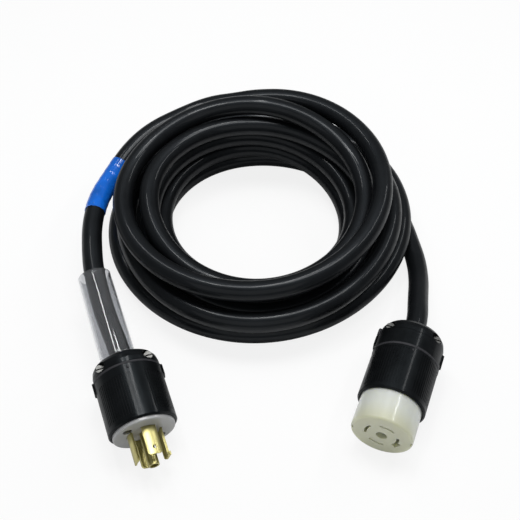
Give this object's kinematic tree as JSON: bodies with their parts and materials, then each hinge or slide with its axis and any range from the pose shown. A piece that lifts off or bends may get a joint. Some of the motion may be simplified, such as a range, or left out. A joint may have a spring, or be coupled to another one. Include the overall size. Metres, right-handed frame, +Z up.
{
  "type": "shore power cord",
  "caption": "Coiled black rubber power cord with a locking bladed plug at one end, the matching white-nosed connector at the other, a loose clear sleeve and a wrap of blue tape",
  "frame": {"origin": "on the floor midway between the plug and the connector, at the bottom centre of the box round the two of them without the cable, the sleeve and the tape", "axes": "+Z up from the floor, +X from the plug to the connector, +Y back towards the coil"},
  "size_m": [0.3226, 0.4071, 0.1012],
  "materials": {
    "cable_rubber": "satin",
    "black_nylon": "fine texture",
    "white_nylon": "satin",
    "grey_moulding": "matt",
    "brass": "rolled",
    "plated_steel": "bright plating",
    "seal_rubber": "matt",
    "clear_vinyl": "clear",
    "blue_tape": "glossy vinyl",
    "core_white": "smooth",
    "core_green": "smooth",
    "core_black": "smooth",
    "core_red": "smooth",
    "core_orange": "smooth"
  },
  "bodies": {
    "cord": {"plug_shell": "black_nylon", "plug_jaw_lower": "black_nylon", "plug_seal": "seal_rubber", "plug_carrier": "grey_moulding", "plug_terminal_clamps": "brass", "plug_terminal_screws": "plated_steel", "plug_assembly_screws": "plated_steel", "plug_core_white": "core_white", "plug_core_green": "core_green", "plug_core_black": "core_black", "plug_core_red": "core_red", "plug_core_orange": "core_orange", "connector_shell": "black_nylon", "connector_jaw_lower": "black_nylon", "connector_seal": "seal_rubber", "connector_carrier": "grey_moulding", "connector_terminal_clamps": "brass", "connector_terminal_screws": "plated_steel", "connector_assembly_screws": "plated_steel", "connector_core_white": "core_white", "connector_core_green": "core_green", "connector_core_black": "core_black", "connector_core_red": "core_red", "connector_core_orange": "core_orange", "plug_blade_neutral": "brass", "connector_contact_neutral": "brass", "plug_blade_line_1": "brass", "connector_contact_line_1": "brass", "plug_blade_line_2": "brass", "connector_contact_line_2": "brass", "plug_blade_line_3": "brass", "connector_contact_line_3": "brass", "plug_ground_pin": "brass", "connector_ground_contact": "brass", "plug_face": "white_nylon", "connector_nose": "white_nylon", "cable_coil": "cable_rubber", "plug_lead": "cable_rubber", "connector_lead": "cable_rubber", "blue_tape": "blue_tape"},
    "sleeve": {"clear_sleeve": "clear_vinyl"},
    "plug_clamp": {"plug_jaw_upper": "black_nylon", "plug_clamp_screws": "plated_steel"},
    "connector_clamp": {"connector_jaw_upper": "black_nylon", "connector_clamp_screws": "plated_steel"}
  },
  "joints": [
    {"name": "sleeve_slide", "type": "slide", "parent": "cord", "child": "sleeve", "axis": [-0.3527, 0.9299, 0.1044], "range_m": [0, 0.018]},
    {"name": "plug_clamp_open", "type": "slide", "parent": "cord", "child": "plug_clamp", "axis": [0.0407, -0.1149, 0.9925], "range_m": [0, 0.002]},
    {"name": "connector_clamp_open", "type": "slide", "parent": "cord", "child": "connector_clamp", "axis": [0, 0, 1], "range_m": [0, 0.002]}
  ]
}
